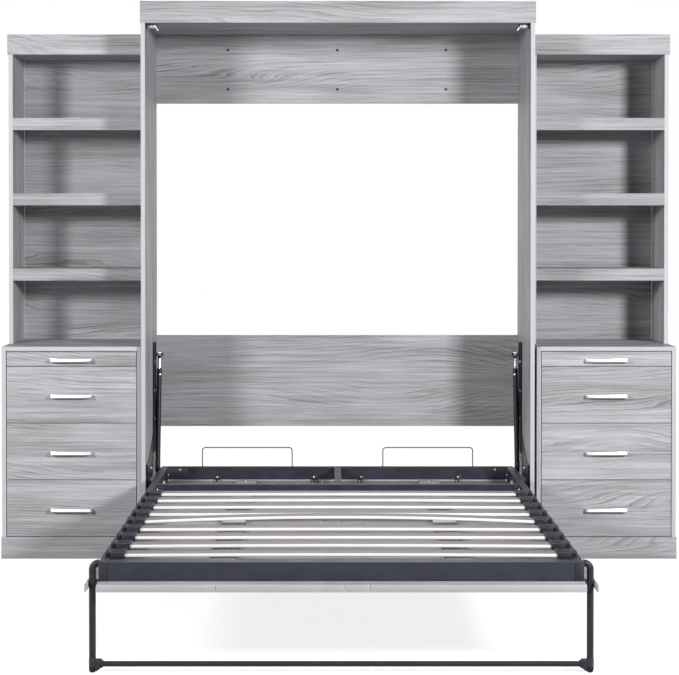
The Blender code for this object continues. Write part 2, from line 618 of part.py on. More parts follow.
def main():
    clear_scene()
    cabinet = empty("bed_cabinet", (CABINET_ACROSS, WALL, 0))
    bed_cabinet(cabinet)
    mechanism_plates(cabinet)
    catches(cabinet)

    fold = empty("bed_fold_axis", (0, -PIVOT_DEPTH, PIVOT_HEIGHT), cabinet)
    side_rails(cabinet, fold)
    bed_bars(cabinet, fold)
    slat_bank(cabinet, fold)
    front_panel(cabinet, fold)
    leg_axis = empty("leg_fold_axis", (0, -LEG_DEPTH, LEG_PIVOT_HEIGHT), cabinet)
    leg_frame(cabinet, leg_axis)

    for side, s in SIDES.items():
        strut(side, s, cabinet)
        unit = empty(f"unit_{side}", (CABINET_ACROSS + s * (OUTER_HALF + STAND_OFF[side]), WALL, 0))
        base_carcass(side, s, unit)
        hutch_carcass(side, s, unit)
        drawers(side, s, unit)


main()
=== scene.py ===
"""Looks for a fold-down wall bed between two storage units. Metres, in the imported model's frame.

Every piece is drawn in the bed's own terms: across from its centre line, depth out from the wall, and height.
A sign is -1 on the left of the centre line and 1 on the right.
"""

import math

import bmesh
import bpy
from mathutils import Matrix, Vector


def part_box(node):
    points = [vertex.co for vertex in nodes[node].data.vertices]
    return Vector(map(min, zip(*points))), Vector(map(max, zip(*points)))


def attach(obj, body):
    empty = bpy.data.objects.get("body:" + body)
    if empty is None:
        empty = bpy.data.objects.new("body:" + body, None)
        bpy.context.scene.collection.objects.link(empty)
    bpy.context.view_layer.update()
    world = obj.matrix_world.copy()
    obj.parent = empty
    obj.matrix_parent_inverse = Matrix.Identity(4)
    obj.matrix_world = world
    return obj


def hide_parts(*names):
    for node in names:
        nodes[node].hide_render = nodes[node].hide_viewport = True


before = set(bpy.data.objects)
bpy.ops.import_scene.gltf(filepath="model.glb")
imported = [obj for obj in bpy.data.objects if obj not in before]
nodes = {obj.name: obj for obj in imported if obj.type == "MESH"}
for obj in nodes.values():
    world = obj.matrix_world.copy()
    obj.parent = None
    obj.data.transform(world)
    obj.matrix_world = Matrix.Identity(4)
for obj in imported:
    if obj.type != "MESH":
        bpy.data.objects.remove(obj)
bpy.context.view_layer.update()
scene = bpy.context.scene
SIDES = {"left": -1, "right": 1}
ACROSS, DEPTH, HEIGHT = 0, 1, 2

# ---------------------------------------------------------------- places read from the frame
CENTRE = (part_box("side_panel_left")[0].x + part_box("side_panel_right")[1].x) / 2
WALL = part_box("side_panel_left")[1].y
CLEAR = 0.0003  # between two pieces that touch
CLOSE = 0.0002  # the same, under small parts


def span(node):
    """A node's (across, depth, height) ranges."""
    low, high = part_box(node)
    return (low.x - CENTRE, high.x - CENTRE), (WALL - high.y, WALL - low.y), (low.z, high.z)


def inside_faces(inner, outer, sign):
    """The (place, way) of the two faces that look at each other between a unit's inner and outer sides."""
    near, far = span(inner)[ACROSS], span(outer)[ACROSS]
    low, high = sorted((near[1], far[0]) if sign > 0 else (near[0], far[1]))
    return (low, 1), (high, -1)


# ---------------------------------------------------------------- shapes
BEVEL_OVER = 0.5  # radians between two faces, past which their edge is bevelled


class Shape:
    """Solids drawn in (across, depth, height), joined in one mesh."""

    def __init__(self):
        self.shell = bmesh.new()

    def faces(self, points, faces, bevel=0.0, segments=2):
        made = bmesh.new()
        verts = [made.verts.new(point) for point in points]
        for face in faces:
            made.faces.new([verts[i] for i in face])
        bmesh.ops.recalc_face_normals(made, faces=made.faces)
        if bevel:
            sharp = [edge for edge in made.edges
                     if len(edge.link_faces) == 2 and edge.calc_face_angle(0) > BEVEL_OVER]
            bmesh.ops.bevel(made, geom=sharp, offset=bevel, segments=segments, profile=0.5,
                            affect="EDGES", clamp_overlap=True)
        mesh = bpy.data.meshes.new("join")
        made.to_mesh(mesh)
        made.free()
        self.shell.from_mesh(mesh)
        bpy.data.meshes.remove(mesh)
        return self

    def prism(self, outline, axis, ends, bevel=0.0, segments=2):
        """An outline pushed along an axis. Its points are in the other two axes, in their usual order."""
        def place(point, along):
            return [(along, *point), (point[0], along, point[1]), (*point, along)][axis]

        count = len(outline)
        points = [place(point, along) for along in ends for point in outline]
        faces = [tuple(range(count)), tuple(range(2 * count - 1, count - 1, -1))]
        faces += [(i, (i + 1) % count, count + (i + 1) % count, count + i) for i in range(count)]
        return self.faces(points, faces, bevel, segments)

    def block(self, across, depth, height, bevel):
        (back, front), (bottom, top) = sorted(depth), sorted(height)
        outline = [(back, bottom), (front, bottom), (front, top), (back, top)]
        return self.prism(outline, ACROSS, sorted(across), bevel)

    def turned(self, profile, base, direction, sides=24):
        """A solid of revolution. The profile's points are (radius, distance along the axis)."""
        axis = Vector(direction).normalized()
        side = axis.orthogonal().normalized()
        up = axis.cross(side)
        points, faces, rings = [], [], []
        for radius, along in profile:
            count = sides if radius else 1
            rings.append(range(len(points), len(points) + count))
            for i in range(count):
                turn = 2 * math.pi * i / sides
                out = side * math.cos(turn) + up * math.sin(turn)
                points.append(Vector(base) + axis * along + out * radius)
        for near, far in zip(rings, rings[1:]):
            for i in range(sides):
                j = (i + 1) % sides
                if len(near) == 1:
                    faces.append((near[0], far[i], far[j]))
                elif len(far) == 1:
                    faces.append((near[j], near[i], far[0]))
                else:
                    faces.append((near[i], far[i], far[j], near[j]))
        return self.faces(points, faces)

    def loft(self, rings):
        """A closed skin over rings that have the same number of points."""
        count = len(rings[0])
        points = [point for ring in rings for point in ring]
        faces = []
        for start in range(0, len(points) - count, count):
            for i in range(count):
                j = (i + 1) % count
                faces.append((start + i, start + j, start + count + j, start + count + i))
        faces += [tuple(range(count)), tuple(range(len(points) - 1, len(points) - count - 1, -1))]
        return self.faces(points, faces)

    def sweep(self, path, radius, sides):
        """A round bar along a path of points."""
        path = [Vector(point) for point in path]
        rings = []
        side = None
        for i, point in enumerate(path):
            way = (path[min(i + 1, len(path) - 1)] - path[max(i - 1, 0)]).normalized()
            side = (way.orthogonal() if side is None else side - way * side.dot(way)).normalized()
            up = way.cross(side)
            turns = [2 * math.pi * k / sides for k in range(sides)]
            rings.append([point + (side * math.cos(turn) + up * math.sin(turn)) * radius for turn in turns])
        return self.loft(rings)

    def disc(self, at, direction, radius, rim, crown, thick, sides=24):
        """A flat disc, chamfered from the height rim up, where it narrows to the radius crown."""
        profile = [(0, 0), (radius, 0), (radius, rim), (crown, thick), (0, thick)]
        return self.turned(profile, at, direction, sides)

    def screw(self, at, direction, radius, head):
        """A pan head with a socket in it."""
        profile = [(0, 0), (radius, 0), (radius, head * 0.45), (radius * 0.86, head * 0.8),
                   (radius * 0.62, head), (radius * 0.42, head), (radius * 0.36, head * 0.35),
                   (0, head * 0.3)]
        return self.turned(profile, at, direction, 16)

    def hex_bolt(self, at, direction, radius, head):
        """A washer under a hexagon head."""
        self.disc(at, direction, radius * 1.5, 0.0009, radius * 1.35, 0.0013, 20)
        profile = [(0, 0.0008), (radius, 0.0008), (radius, head), (radius * 0.86, head + 0.0008),
                   (0, head + 0.0008)]
        return self.turned(profile, at, direction, 6)

    def piece(self, name, body, slot, material, smooth=40, replaces=()):
        """Puts the shape in the scene, on its body, and hides the frame nodes that it replaces. Its slot is
        not used.

        smooth is the angle in degrees under which neighbouring faces are shaded as one.
        """
        to_scene = Matrix(((1, 0, 0, CENTRE), (0, -1, 0, WALL), (0, 0, 1, 0), (0, 0, 0, 1)))
        bmesh.ops.transform(self.shell, matrix=to_scene, verts=self.shell.verts)
        bmesh.ops.reverse_faces(self.shell, faces=self.shell.faces)
        mesh = bpy.data.meshes.new(name)
        self.shell.to_mesh(mesh)
        self.shell.free()
        made = bpy.data.objects.new(name, mesh)
        scene.collection.objects.link(made)
        mesh.materials.append(material)
        mesh.polygons.foreach_set("use_smooth", [True] * len(mesh.polygons))
        mesh.set_sharp_from_angle(angle=math.radians(smooth))
        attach(made, body)
        if replaces:
            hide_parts(*replaces)


# ---------------------------------------------------------------- materials
class Graph:
    """A material and a few short ways to wire its nodes."""

    def __init__(self, name):
        self.material = bpy.data.materials.new(name)
        self.material.use_nodes = True
        self.tree = self.material.node_tree
        self.shader = self.tree.nodes["Principled BSDF"]

    def add(self, kind, inputs=None, **settings):
        made = self.tree.nodes.new("ShaderNode" + kind)
        for key, value in settings.items():
            setattr(made, key, value)
        for key, value in (inputs or {}).items():
            self.set(made.inputs[key], value)
        return made

    def set(self, socket, value):
        if isinstance(value, bpy.types.NodeSocket):
            self.tree.links.new(value, socket)
        elif socket.type == "RGBA":
            socket.default_value = (*value, 1)
        else:
            socket.default_value = value

    def math(self, operation, a, b=0.0, clamp=False):
        return self.add("Math", {0: a, 1: b}, operation=operation, use_clamp=clamp).outputs[0]

    def weighted(self, *terms):
        """The sum of (value, weight) pairs."""
        total = None
        for value, weight in terms:
            part = self.math("MULTIPLY", value, weight)
            total = part if total is None else self.math("ADD", total, part)
        return total

    def vector(self, operation, a, b=(0, 0, 0)):
        return self.add("VectorMath", {0: a, 1: b}, operation=operation).outputs[0]

    def split(self, vector):
        """A vector's three parts."""
        return self.add("SeparateXYZ", {0: vector}).outputs

    def facing(self, place):
        """How squarely the surface faces along each axis, from 0 to 1."""
        return self.split(self.vector("ABSOLUTE", place.outputs["Normal"]))

    def noise(self, vector, scales, detail=2.0, roughness=0.5):
        """Noise with so many cycles in a metre along each axis."""
        scaled = self.vector("MULTIPLY", vector, scales)
        return self.add("TexNoise", {"Vector": scaled, "Scale": 1.0, "Detail": detail,
                                     "Roughness": roughness}).outputs["Fac"]

    def ramp(self, value, low, high, to_low=0.0, to_high=1.0, kind="LINEAR"):
        made = self.add("MapRange", {"Value": value, "From Min": low, "From Max": high, "To Min": to_low,
                                     "To Max": to_high}, interpolation_type=kind)
        return made.outputs[0]

    def mix(self, factor, a, b):
        return self.add("Mix", {0: factor, 6: a, 7: b}, data_type="RGBA").outputs[2]

    def bump(self, height, strength, distance):
        made = self.add("Bump", {"Strength": strength, "Distance": distance, "Height": height})
        self.set(self.shader.inputs["Normal"], made.outputs[0])

    def corner(self, facing):
        """1 on a rounded corner of a boxy piece, 0 on its flat faces."""
        most = self.math("MAXIMUM", self.math("MAXIMUM", facing[0], facing[1]), facing[2])
        return self.ramp(most, 0.93, 0.995, 1.0, 0.0)

    def finish(self, colour, roughness, specular=0.5, metallic=0.0):
        for key, value in (("Base Color", colour), ("Roughness", roughness), ("Metallic", metallic),
                           ("Specular IOR Level", specular)):
            self.set(self.shader.inputs[key], value)
        return self.material


def shade(colour, factor):
    return tuple(part * factor for part in colour)


WOOD_LIGHT = (0.575, 0.560, 0.590)
WOOD_DARK = (0.225, 0.215, 0.225)
BAND = (0.640, 0.625, 0.655)


def wood(name, along, thin=None, seed=0.0, tone_and_painted_light=1.0, edge_tone=1.0):
    """Grey printed laminate. along is the grain's axis. thin is the axis across a board with banded edges."""
    graph = Graph(name)
    place = graph.add("TexCoord")
    facing = graph.facing(place)
    moved = graph.vector("ADD", place.outputs["Object"], (seed * 1.37, seed * 0.71, seed * 2.13))
    point = graph.split(moved)
    turn = 1 if along == 0 else 0
    rest = 3 - along - turn
    straight = graph.add("CombineXYZ", {0: point[along], 1: point[turn], 2: point[rest]}).outputs[0]
    turned = graph.add("CombineXYZ", {0: point[turn], 1: point[along], 2: point[rest]}).outputs[0]
    # a board's ends carry the same print, turned so that its lines still run lengthwise
    at_end = graph.math("GREATER_THAN", facing[along], 0.8)
    spot = graph.add("Mix", {"Factor": at_end, 4: straight, 5: turned}, data_type="VECTOR").outputs[1]
    spot_parts = graph.split(spot)
    across = graph.math("ADD", spot_parts[1], spot_parts[2])

    # growth rings: sawtooth lines that the noise bends into flames, with finer lines between them
    swell = graph.noise(spot, (1.1, 6.5, 6.5), 0.0)
    wave = graph.noise(spot, (5.0, 40.0, 40.0))
    rings = graph.weighted((across, 74.0), (swell, 14.5), (wave, 0.75))
    late = graph.math("POWER", graph.math("FRACT", rings), 5.0)
    fine = graph.math("POWER", graph.math("FRACT", graph.math("MULTIPLY", rings, 2.17)), 2.5)
    finest = graph.math("POWER", graph.math("FRACT", graph.math("MULTIPLY", rings, 3.61)), 2.0)
    lines = graph.weighted((late, 0.56), (fine, 0.46), (finest, 0.30))
    strength = graph.ramp(graph.noise(spot, (2.6, 11.0, 11.0), 1.0), 0.34, 0.66, 0.25, 1.0)

    fibre = graph.noise(spot, (10.0, 330.0, 330.0), 3.0, 0.6)
    streak = graph.noise(spot, (1.6, 75.0, 75.0), 3.0, 0.65)
    zone = graph.noise(spot, (1.1, 13.0, 13.0))
    dark = graph.math("MULTIPLY", lines, strength)
    dark = graph.math("ADD", dark, graph.ramp(fibre, 0.36, 0.66, 0.20, -0.06))
    dark = graph.math("ADD", dark, graph.ramp(streak, 0.36, 0.66, 0.30, -0.12))
    dark = graph.math("ADD", dark, graph.ramp(zone, 0.34, 0.66, 0.20, -0.04), clamp=True)
    colour = graph.mix(dark, shade(WOOD_LIGHT, tone_and_painted_light), shade(WOOD_DARK, tone_and_painted_light))
    if thin is not None:
        band = shade(BAND, edge_tone)
        plain = graph.mix(graph.ramp(fibre, 0.35, 0.65), shade(band, 0.93), band)
        colour = graph.mix(graph.ramp(facing[thin], 0.45, 0.75, 1.0, 0.0), colour, plain)
    # rounded corners made lighter: partly wear, partly a painted highlight
    corner_wear_and_highlight = graph.math("MULTIPLY", graph.corner(facing), 0.45)
    colour = graph.mix(corner_wear_and_highlight, colour, shade(BAND, 1.12))
    graph.bump(dark, 0.35, 0.0006)
    return graph.finish(colour, graph.ramp(fibre, 0.3, 0.7, 0.62, 0.48), 0.35)


def coated(name, colour, roughness, peel, corner_wear_and_highlight, specular):
    """Powder coat or moulded plastic: orange peel, faint blotches, and corners lighter partly from wear and
    partly as a painted highlight.
    """
    graph = Graph(name)
    place = graph.add("TexCoord")
    spot = place.outputs["Object"]
    speck = graph.noise(spot, (900.0, 900.0, 900.0), 2.0, 0.6)
    blotch = graph.noise(spot, (14.0, 14.0, 22.0), 3.0, 0.6)
    base = graph.mix(graph.ramp(blotch, 0.35, 0.68), shade(colour, 0.82), shade(colour, 1.18))
    base = graph.mix(graph.math("MULTIPLY", graph.ramp(speck, 0.55, 0.75), 0.25), base, shade(colour, 1.7))
    light = tuple(part * 2.2 + 0.02 for part in colour)
    # corners mixed towards a lighter colour: part wear, part painted highlight
    base = graph.mix(graph.math("MULTIPLY", graph.corner(graph.facing(place)), corner_wear_and_highlight), base, light)
    graph.bump(speck, 0.25 * peel, 0.0004)
    return graph.finish(base, graph.ramp(blotch, 0.3, 0.7, roughness - 0.06, roughness + 0.08), specular)


def metal(name, colour, roughness, deep=0.12, scales=(4.0, 260.0, 260.0)):
    """Brushed or plated metal. deep is how much darker its fine lines are."""
    graph = Graph(name)
    spot = graph.add("TexCoord").outputs["Object"]
    lines = graph.noise(spot, scales, 3.0, 0.65)
    smudge = graph.noise(spot, (30.0, 30.0, 30.0))
    base = graph.mix(graph.ramp(lines, 0.3, 0.7), shade(colour, 1 - deep), colour)
    graph.bump(lines, 0.15, 0.0003)
    rough = graph.math("ADD", graph.ramp(lines, 0.3, 0.7, roughness * 1.25, roughness * 0.85),
                       graph.ramp(smudge, 0.4, 0.7, 0.0, 0.05))
    return graph.finish(base, rough, metallic=1.0)


def slat_wood(name, seed):
    """Layered birch at the edges, and a darker grey-lilac on the broad faces."""
    graph = Graph(name)
    place = graph.add("TexCoord")
    spot = graph.vector("ADD", place.outputs["Object"], (seed, seed * 0.3, 0))
    height = graph.split(place.outputs["Object"])[HEIGHT]
    grain = graph.noise(spot, (7.0, 190.0, 190.0), 3.0, 0.6)
    plies = graph.math("PINGPONG", graph.math("MULTIPLY", height, 480.0), 0.5)
    birch = graph.mix(graph.ramp(grain, 0.3, 0.7), (1.0, 0.985, 0.93), (0.94, 0.91, 0.83))
    glue_line = graph.math("MULTIPLY", graph.ramp(plies, 0.0, 0.12, 1.0, 0.0), 0.18)
    birch = graph.mix(glue_line, birch, (0.56, 0.49, 0.38))
    broad_face_grey = graph.mix(graph.ramp(grain, 0.3, 0.7), (0.265, 0.251, 0.284), (0.209, 0.197, 0.228))
    colour = graph.mix(graph.ramp(graph.facing(place)[HEIGHT], 0.62, 0.86), birch, broad_face_grey)
    graph.bump(grain, 0.2, 0.0004)
    return graph.finish(colour, graph.ramp(grain, 0.3, 0.7, 0.55, 0.42), 0.4)


navy = coated("navy_powder_coat", (0.0235, 0.0255, 0.0405), 0.46, 1.0, 0.35, 0.35)
black = coated("black_satin_coat", (0.0130, 0.0135, 0.0190), 0.42, 0.6, 0.35, 0.25)
plastic = coated("black_moulded_plastic", (0.0195, 0.0200, 0.0280), 0.52, 1.6, 0.50, 0.30)
rubber = coated("black_rubber", (0.014, 0.014, 0.016), 0.72, 1.4, 0.20, 0.20)
silver = metal("satin_silver", (0.80, 0.81, 0.83), 0.30)
bright = metal("bright_handle", (0.95, 0.95, 0.96), 0.26, 0.05)
zinc = metal("zinc_plate", (0.66, 0.67, 0.69), 0.34, 0.25, (90.0, 90.0, 90.0))
chrome = metal("chrome_plate", (0.86, 0.87, 0.89), 0.10, 0.06, (60.0, 60.0, 260.0))

# the grain's axis and the thin axis of every board that stays as it is in the frame, by how its name starts
BOARDS = {
    "side_panel": (HEIGHT, ACROSS), "cabinet_crown": (ACROSS, None), "upper_back": (ACROSS, DEPTH),
    "lower_back": (ACROSS, DEPTH), "plinth": (ACROSS, None), "base_side": (HEIGHT, ACROSS),
    "worktop": (ACROSS, HEIGHT), "unit_back": (ACROSS, DEPTH), "hutch_side": (HEIGHT, ACROSS),
    "hutch_crown": (ACROSS, None), "hutch_shelf": (ACROSS, None), "tray_": (ACROSS, DEPTH),
    "drawer_": (ACROSS, DEPTH),
}
# how light each board's print is; the left unit's back is made lighter as painted light, standing in for the
# right lamp's light on it
TONES_AND_PAINTED_LIGHT = {
    "side_panel": 0.86, "drawer_": 1.13, "tray_": 1.13, "plinth": 1.18, "unit_back_left": 1.10,
    "cabinet_crown": 0.97,
}
TONE_STEP = 0.015  # between neighbouring boards
BOARD_EDGE = 0.0008
METAL_EDGE = 0.0004
SMOOTH_UNDER = 35  # degrees between faces, and for the next one too
SOFTEN_OVER = 50


def by_start(table, name, otherwise):
    """The first entry of a table whose key starts the name."""
    return next((value for key, value in table.items() if name.startswith(key)), otherwise)


def dress_frame():
    """Gives every carried-over node its finish and softened edges."""
    for index, (name, made) in enumerate(sorted(nodes.items())):
        if made.hide_render:
            continue
        board = by_start(BOARDS, name, None)
        bevel = BOARD_EDGE
        if board:
            tone_and_painted_light = by_start(TONES_AND_PAINTED_LIGHT, name, 1.0) + TONE_STEP * ((index * 7) % 5 - 2)
            edge_tone = 1.0 if name.startswith("side_panel") else tone_and_painted_light
            finish = wood("wood_" + name, *board, 0.37 + index * 0.618, tone_and_painted_light, edge_tone)
        elif name.startswith("strut_rod"):
            finish, bevel = chrome, METAL_EDGE
        elif name.startswith(("mechanism_plate", "strut_tube")):
            finish, bevel = black, METAL_EDGE
        else:
            finish = navy
        made.data.materials.clear()
        made.data.materials.append(finish)
        made.data.polygons.foreach_set("use_smooth", [True] * len(made.data.polygons))
        made.data.set_sharp_from_angle(angle=math.radians(SMOOTH_UNDER))
        round_off = made.modifiers.new("soft edges", "BEVEL")
        round_off.width = bevel
        round_off.segments = 2
        round_off.limit_method = "ANGLE"
        round_off.angle_limit = math.radians(SOFTEN_OVER)
        round_off.harden_normals = True


# ---------------------------------------------------------------- slats
RAIL_WIDTH = 0.025
FOOT_START, FOOT_END = span("foot_bar")[DEPTH]
RAIL_BOTTOM, RAIL_TOP = span("foot_bar")[HEIGHT]
RAIL_INSIDE = span("foot_bar")[ACROSS][1] + CLEAR
RAIL_OUTSIDE = RAIL_INSIDE + RAIL_WIDTH

SLATS = 9
SLAT_PITCH = 0.139
SLAT_WIDTH = 0.053
SLAT_THICK = 0.011
SLAT_ROUND = 0.0032
SLAT_HALF = 0.6580  # half of a slat's length
SLAT_FREE = 0.640  # half of the length that bows
SLAT_STEPS = 32
SLAT_UNDER = span("slat_bank")[HEIGHT][1] - SLAT_THICK
FIRST_FRONT = span("slat_bank")[DEPTH][0] + SLAT_WIDTH + 0.005
BOWED = 4  # the slat that bows up more than the others
BOWED_RISE = 0.0155

HOLDER_INSIDE = 0.632
HOLDER_OUTSIDE = RAIL_INSIDE - 0.0006
HOLDER_PAST_SLAT = 0.004
HOLDER_WALL = 0.0038
HOLDER_RIBS = 3
TAB_REACH = 0.016  # over the rail


def slat(index, front, bow):
    """A thin sprung board with rounded long edges, bowed up a little between its holders."""
    deep, tall = SLAT_WIDTH / 2, SLAT_THICK / 2
    bend_depth, bend_height = deep - SLAT_ROUND, tall - SLAT_ROUND
    section = []
    for depth, height, start in ((bend_depth, bend_height, 0), (-bend_depth, bend_height, 90),
                                 (-bend_depth, -bend_height, 180), (bend_depth, -bend_height, 270)):
        for step in range(4):
            turn = math.radians(start + 30 * step)
            section.append((depth + SLAT_ROUND * math.cos(turn), height + SLAT_ROUND * math.sin(turn)))
    rings = []
    for i in range(SLAT_STEPS + 1):
        across = SLAT_HALF * (2 * i / SLAT_STEPS - 1)
        lift = bow * max(0.0, 1 - (across / SLAT_FREE) ** 2)
        rings.append([(across, front - deep + depth, SLAT_UNDER + tall + height + lift)
                      for depth, height in section])
    birch = slat_wood(f"birch_slat_{index + 1}", index * 0.71)
    Shape().loft(rings).piece(f"slat_{index + 1}", "bed", "birch_slat", birch,
                              replaces=("slat_bank",) if index == 0 else ())


def holder(index, side, sign, front):
    """A moulded sleeve over a slat's end, with ribs on top and a tab riveted over the rail."""
    back, front = front - SLAT_WIDTH - HOLDER_PAST_SLAT, front + HOLDER_PAST_SLAT
    bottom, top = SLAT_UNDER - 0.0040, SLAT_UNDER + SLAT_THICK + 0.0036
    mouth, end = sign * HOLDER_INSIDE, sign * HOLDER_OUTSIDE
    low, high = bottom + 0.001, top - 0.001
    cheek = HOLDER_WALL * 0.9
    shape = Shape()
    shape.block((mouth, end), (back, front), (top - HOLDER_WALL, top), 0.0012)
    shape.block((mouth, end), (back, front), (bottom, bottom + HOLDER_WALL), 0.0012)
    shape.block((mouth, end), (back, back + cheek), (low, high), 0.001)
    shape.block((mouth, end), (front - cheek, front), (low, high), 0.001)
    shape.block((end - sign * 0.013, end), (back + 0.001, front - 0.001), (low, high), 0.001)
    shape.block((mouth, mouth + sign * 0.003), (back - 0.0012, front + 0.0012),
                (top - HOLDER_WALL, top + 0.0014), 0.0008)
    for k in range(HOLDER_RIBS):
        rib = back + (front - back) * (k + 1) / (HOLDER_RIBS + 1)
        shape.block((mouth + sign * 0.004, end - sign * 0.002), (rib - 0.0022, rib + 0.0022),
                    (high, top + 0.0022), 0.0009)

    mid = (back + front) / 2
    tab_end = sign * (RAIL_INSIDE + TAB_REACH)
    tab = [(mid - 0.017, top - 0.003), (mid + 0.017, top - 0.003), (mid + 0.013, top + 0.0005),
           (mid - 0.013, top + 0.0005)]
    shape.prism(tab, ACROSS, sorted((end - sign * 0.004, tab_end)), 0.0008)
    shape.block((sign * (RAIL_INSIDE + 0.004), tab_end), (mid - 0.015, mid + 0.015),
                (RAIL_TOP + CLOSE, high), 0.0008)
    shape.block((end - sign * 0.010, end), (mid - 0.016, mid + 0.016), (SLAT_UNDER - 0.018, low), 0.001)
    shape.turned([(0, 0), (0.0042, 0), (0.0042, 0.0012), (0.003, 0.0026), (0, 0.003)],
                 (sign * (RAIL_INSIDE + 0.010), mid, top + CLEAR), (0, 0, 1), 14)
    shape.piece(f"slat_holder_{index + 1}_{side}", "bed", "black_plastic", plastic)


def slats():
    for index in range(SLATS):
        front = FIRST_FRONT + index * SLAT_PITCH
        slat(index, front, BOWED_RISE if index == BOWED else 0.0012 + 0.0008 * ((index * 5) % 3))
        for side, sign in SIDES.items():
            holder(index, side, sign, front)


# ---------------------------------------------------------------- front panel
HEAD_START = span("head_bar")[DEPTH][0]
HEAD_END = HEAD_START + RAIL_WIDTH
HEAD_BOTTOM = span("head_bar")[HEIGHT][0]
PANEL_ACROSS, PANEL_DEPTH, (PANEL_BOTTOM, BATTEN_TOP) = span("front_panel")
PANEL_TOP = RAIL_BOTTOM - CLEAR
PANEL_SEAMS = (-0.360, -0.062, 0.008, 0.083)
SEAM = 0.0004  # half of a seam's width

BATTEN_SIDES = (0.320, 0.400)
BATTEN_END_GAP = 0.060
BATTEN_SCREWS = (0.30, 0.62, 0.95, 1.30, 1.65, 2.00)

LEG_RADIUS = 0.010
LEG_NOTCH_GAP = 0.0015
LEG_NOTCH_INSIDE = 0.0085


def front_boards():
    """The panel's boards, the outer two notched for the legs, and the packer and battens over them."""
    leg_across, leg_depth, _ = span("leg_frame")
    notch_back = leg_depth[0] - LEG_NOTCH_GAP
    outer, inner = leg_across[1] + LEG_NOTCH_GAP, leg_across[1] - 2 * LEG_RADIUS - LEG_NOTCH_INSIDE
    start, end = PANEL_DEPTH
    finish = wood("wood_front_boards", ACROSS, HEIGHT, 3.1, 1.0, 0.80)
    seams = [PANEL_ACROSS[0], *PANEL_SEAMS, PANEL_ACROSS[1]]
    for index, (left, right) in enumerate(zip(seams, seams[1:])):
        left, right = left + SEAM, right - SEAM
        outline = [(left, start), (right, start), (right, end), (left, end)]
        if index == 0:
            outline[3:] = [(-inner, end), (-inner, notch_back), (-outer, notch_back), (-outer, end),
                           (left, end)]
        if index == len(seams) - 2:
            outline[2:3] = [(right, end), (outer, end), (outer, notch_back), (inner, notch_back),
                            (inner, end)]
        board = Shape().prism(outline, HEIGHT, (PANEL_BOTTOM, PANEL_TOP), 0.0007)
        board.piece(f"front_board_{index + 1}", "bed", "grey_wood", finish,
                    replaces=("front_panel",) if index == 0 else ())

    packer = Shape().block((-RAIL_INSIDE + 0.004, RAIL_INSIDE - 0.004), (start + 0.0005, HEAD_END - 0.0005),
                           (PANEL_TOP + CLOSE, HEAD_BOTTOM - CLOSE), 0.0008)
    finish = wood("wood_head_packer", ACROSS, DEPTH, 4.4, 0.95, 0.75)
    packer.piece("panel_head_packer", "bed", "grey_wood", finish)
    for side, sign in SIDES.items():
        batten = Shape().block([sign * across for across in BATTEN_SIDES],
                               (HEAD_START + BATTEN_END_GAP, FOOT_END - BATTEN_END_GAP),
                               (PANEL_TOP + CLOSE, BATTEN_TOP), 0.0015)
        screws = Shape()
        for depth in BATTEN_SCREWS:
            screws.screw((sign * sum(BATTEN_SIDES) / 2, depth, BATTEN_TOP), (0, 0, 1), 0.0042, 0.0020)
        finish = wood(f"wood_batten_{side}", DEPTH, ACROSS, 5.0 + sign, 0.9)
        batten.piece(f"panel_batten_{side}", "bed", "grey_wood", finish)
        screws.piece(f"panel_batten_screws_{side}", "bed", "silver_metal", zinc)


# ---------------------------------------------------------------- bed frame's fixings
CROSS_BAR = span("centre_support")[DEPTH][1] - 0.013  # the depth of the cross bar's bracket
CROSS_BAR_BOTTOM = span("centre_support")[HEIGHT][0]
ANGLE_FACE = RAIL_INSIDE - 0.0004  # where a bracket lies against a side rail
CROSS_PLATE = 0.003
HEAD_ANGLE = 0.003
HEAD_BOLT = 0.628  # across, through the head bar
FOOT_ANGLE = 0.0025
PANEL_BRACKETS = (-0.479, -0.094, 0.094, 0.479)
HOOK_PLATE = 0.0018


def angle_plate(sign, bar_face, way, thick, on_rail, on_bar):
    """The plan of an angle bracket between a side rail and a bar, on the bar's face that looks way."""
    near = bar_face + way * CLEAR
    far = near + way * thick
    return [(sign * ANGLE_FACE, near), (sign * ANGLE_FACE, bar_face + way * on_rail),
            (sign * (ANGLE_FACE - thick), bar_face + way * on_rail), (sign * (ANGLE_FACE - thick), far),
            (sign * (ANGLE_FACE - on_bar), far), (sign * (ANGLE_FACE - on_bar), near)]


def head_corner(side, sign):
    outline = angle_plate(sign, HEAD_END, 1, HEAD_ANGLE, 0.072, 0.078)
    plate = Shape().prism(outline, HEIGHT, (HEAD_BOTTOM + 0.006, RAIL_TOP - 0.004), 0.0006)
    plate.piece(f"head_corner_angle_{side}", "bed", "navy_steel", navy)
    bolts = Shape()
    bolts.screw((sign * HEAD_BOLT, HEAD_END + CLEAR + HEAD_ANGLE, RAIL_TOP - 0.011), (0, 1, 0),
                0.0052, 0.0030)
    bolts.screw((sign * (ANGLE_FACE - HEAD_ANGLE), HEAD_END + 0.040, RAIL_TOP - 0.026), (-sign, 0, 0),
                0.0045, 0.0026)
    bolts.piece(f"head_corner_bolts_{side}", "bed", "silver_metal", zinc)


def foot_corner(side, sign):
    outline = angle_plate(sign, FOOT_START, -1, FOOT_ANGLE, 0.014, 0.045)
    plate = Shape().prism(outline, HEIGHT, (RAIL_BOTTOM + 0.006, RAIL_TOP - 0.008), 0.0005)
    plate.piece(f"foot_corner_angle_{side}", "bed", "navy_steel", navy)


def rail_end_cap(side, sign):
    """A plug in the rail's open end, a plate with a raised middle."""
    cap = Shape()
    for inset, deep, start, stop, bevel in ((0.0008, 0.0008, -0.002, 0.0028, 0.0012),
                                            (0.005, 0.007, 0.002, 0.0038, 0.001)):
        cap.block((sign * (RAIL_INSIDE + inset), sign * (RAIL_OUTSIDE - inset)),
                  (FOOT_END + start, FOOT_END + stop), (RAIL_BOTTOM + deep, RAIL_TOP - deep), bevel)
    cap.piece(f"rail_end_cap_{side}", "bed", "black_plastic", plastic)


